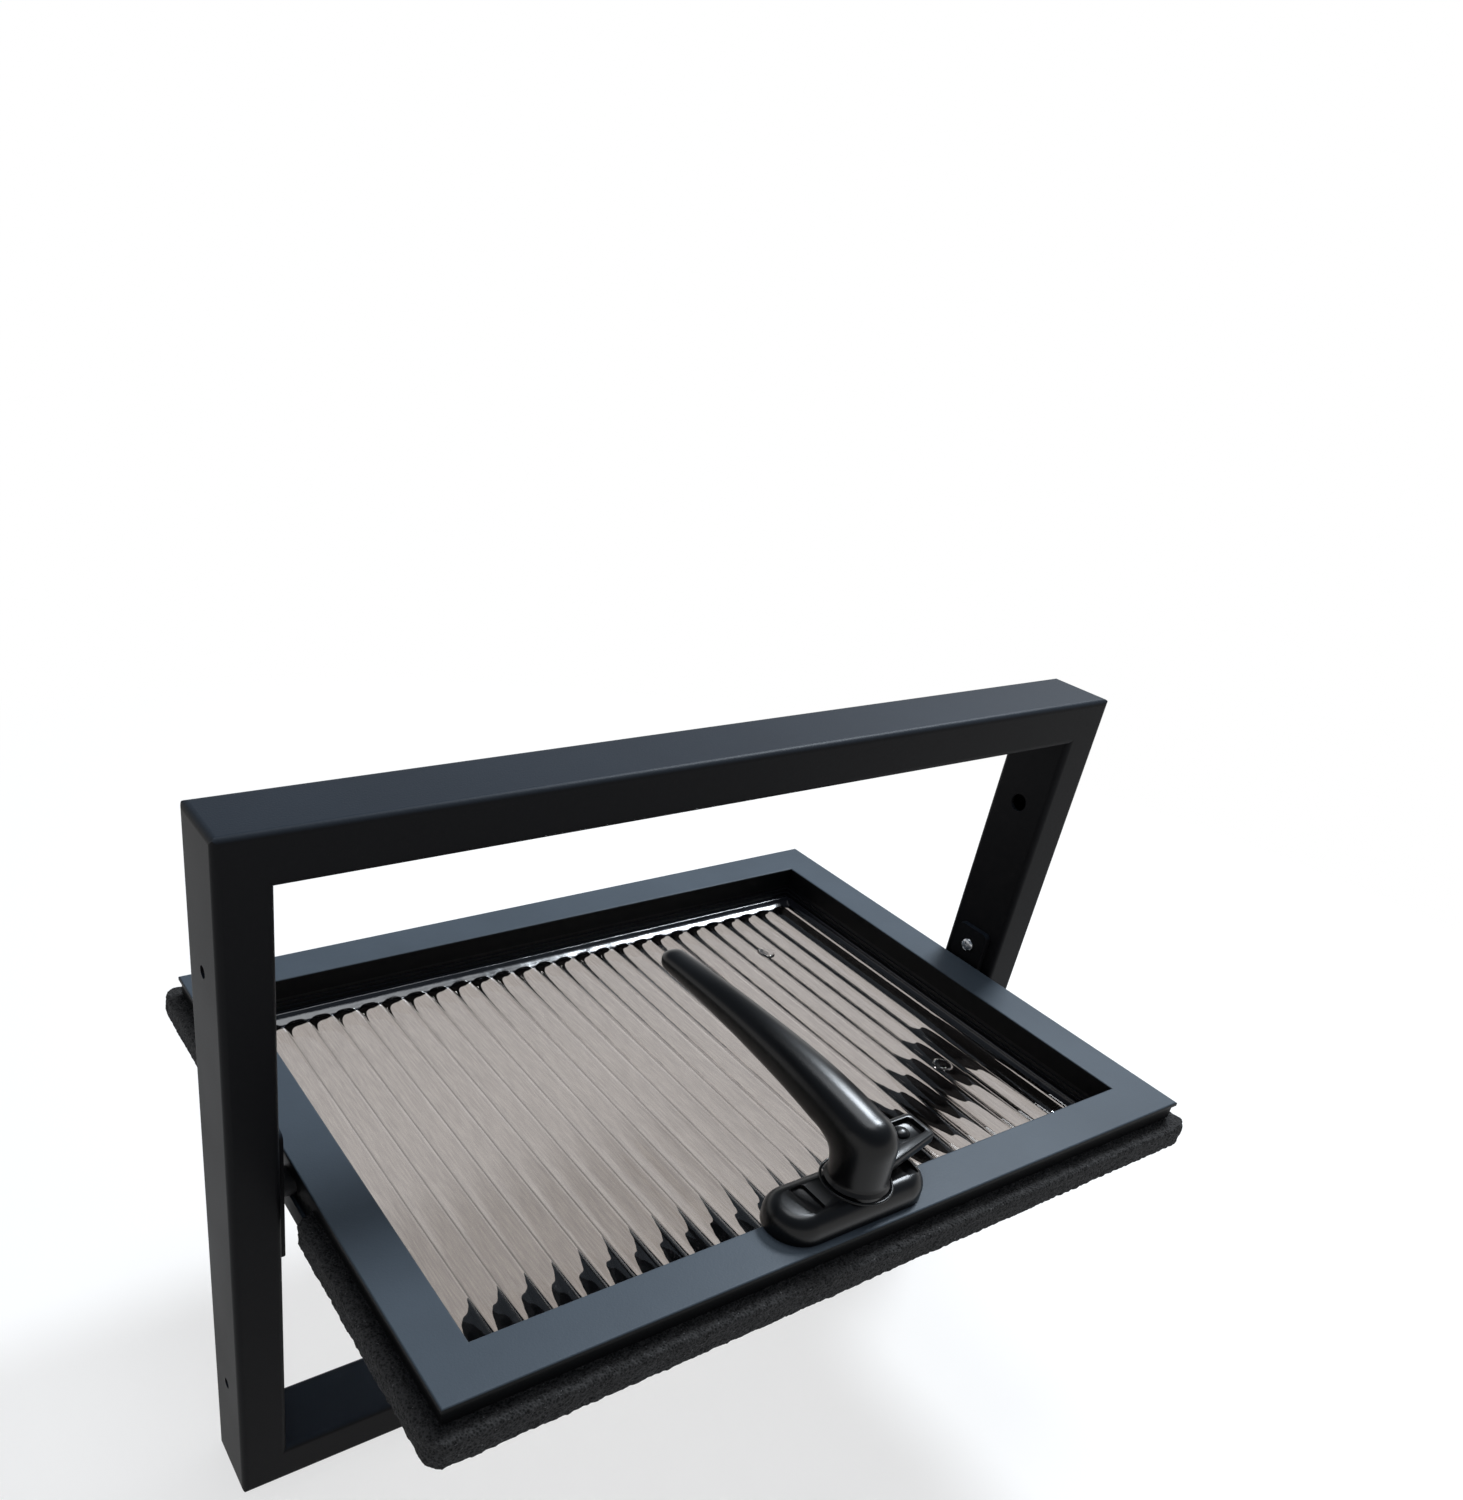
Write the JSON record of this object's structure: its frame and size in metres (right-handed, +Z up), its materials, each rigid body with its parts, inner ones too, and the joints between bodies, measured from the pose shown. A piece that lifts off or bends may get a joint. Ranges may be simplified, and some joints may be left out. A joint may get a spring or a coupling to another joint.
{
  "type": "centre-pivoted shed window",
  "caption": "Small black framed shed window whose reeded glass sash stands open on a level pivot axis at mid height, with a lever handle and foam weather strip.",
  "frame": {"origin": "middle of the underside of the frame's sill, at mid depth", "axes": "+X along the width, +Y away from the room, +Z up; the handle side faces -Y"},
  "size_m": [0.4, 0.2614, 0.3],
  "materials": {
    "frame_coat": "satin black powder coat",
    "sash_coat": "satin black powder coat",
    "bead_coat": "satin black powder coat",
    "foam_strip": "coarse open-cell foam",
    "reeded_glass": "clear, reeded on the room side",
    "sealant": "glossy",
    "gasket_rubber": "matte",
    "washer_plastic": "matte",
    "pivot_steel": "black zinc plate",
    "handle_coat": "gloss black enamel"
  },
  "bodies": {
    "root": {"frame_head": "frame_coat", "frame_sill": "frame_coat", "frame_left_stile": "frame_coat", "frame_right_stile": "frame_coat", "keeper": "handle_coat", "sash_top_rail": "sash_coat", "sash_bottom_rail": "sash_coat", "sash_left_stile": "sash_coat", "sash_right_stile": "sash_coat", "bead_top": "bead_coat", "bead_bottom": "bead_coat", "bead_left": "bead_coat", "bead_right": "bead_coat", "glass_pane": "reeded_glass", "glazing_sealant": "sealant", "glazing_gasket": "gasket_rubber", "foam_top": "foam_strip", "foam_bottom": "foam_strip", "foam_left_upper": "foam_strip", "foam_left_lower": "foam_strip", "foam_right_upper": "foam_strip", "foam_right_lower": "foam_strip", "pivot_plate_left": "pivot_steel", "pivot_plate_right": "pivot_steel", "pivot_pin_left": "pivot_steel", "pivot_pin_right": "pivot_steel", "pivot_washer_left": "washer_plastic", "pivot_washer_right": "washer_plastic", "handle_base": "handle_coat", "handle_lever": "handle_coat", "handle_tongue": "handle_coat"}
  },
  "joints": []
}
